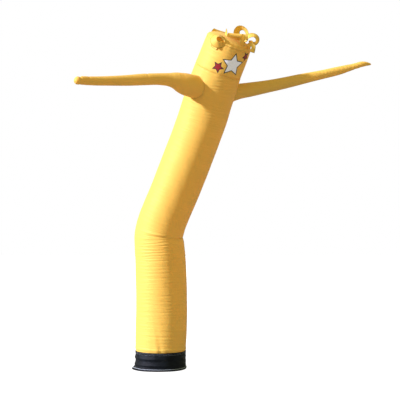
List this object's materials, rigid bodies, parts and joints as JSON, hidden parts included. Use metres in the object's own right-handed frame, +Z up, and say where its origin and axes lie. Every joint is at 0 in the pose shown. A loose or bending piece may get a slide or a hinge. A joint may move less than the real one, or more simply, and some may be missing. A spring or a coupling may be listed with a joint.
{
  "type": "inflatable air dancer",
  "caption": "Tall inflatable tube figure of thin cloth, bent at the waist, with long tapered arms, a print on its head, curled cloth hair and a dark cuff at its mouth.",
  "frame": {"origin": "centre of the cuff's mouth, in the plane of its hem", "axes": "+Z up along the standing tube, -Y towards the viewer, +X to the viewer's right"},
  "size_m": [1.4831, 0.7529, 1.7382],
  "materials": {
    "yellow_cloth": "thin coated woven nylon, warm yellow, soft sheen, a little light comes through",
    "black_cloth": "heavier black woven cloth, matt"
  },
  "bodies": {
    "root": {"body": "yellow_cloth", "head": "yellow_cloth", "crown": "yellow_cloth", "arm_left": "yellow_cloth", "arm_right": "yellow_cloth", "hair_loop_left": "yellow_cloth", "hair_end_left": "yellow_cloth", "hair_spike": "yellow_cloth", "hair_roll_front": "yellow_cloth", "hair_ring_top": "yellow_cloth", "hair_curl_right": "yellow_cloth", "hair_strip_right": "yellow_cloth", "hair_tab_front": "yellow_cloth", "hair_loop_back": "yellow_cloth", "hair_roll_back": "yellow_cloth", "hair_strip_back": "yellow_cloth", "cuff": "black_cloth"}
  },
  "joints": []
}
